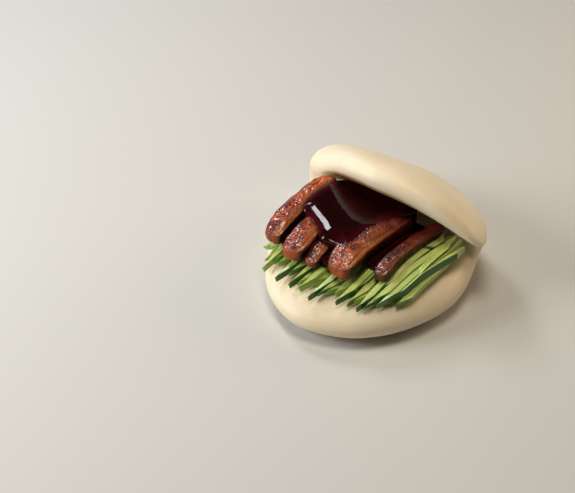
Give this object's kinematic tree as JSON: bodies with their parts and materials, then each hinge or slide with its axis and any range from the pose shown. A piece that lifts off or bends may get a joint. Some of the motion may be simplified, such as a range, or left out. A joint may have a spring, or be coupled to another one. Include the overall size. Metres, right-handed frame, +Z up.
{
  "type": "filled steamed bun",
  "caption": "Folded steamed bun, open at the front, filled with cucumber batons, glazed roast meat slices and a dark glossy sauce.",
  "frame": {"origin": "on the underside of the lower half, on the surface that the bun rests on, below the middle of the bun", "axes": "+Z up; -Y out of the open mouth; +Y towards the fold; X along the fold"},
  "size_m": [0.1182, 0.1217, 0.0621],
  "materials": {
    "dough": "smooth satin skin of steamed wheat dough, ivory",
    "cucumber": "wet pale green flesh with dark green skin on one side",
    "meat": "glossy glazed roast meat, red brown with burnt patches",
    "sauce": "very glossy, thick, nearly black red-brown sauce"
  },
  "bodies": {
    "root": {"bun": "dough", "cucumber": "cucumber", "meat_1": "meat", "meat_2": "meat", "meat_3": "meat", "meat_4": "meat", "meat_5": "meat", "sauce": "sauce"}
  },
  "joints": []
}
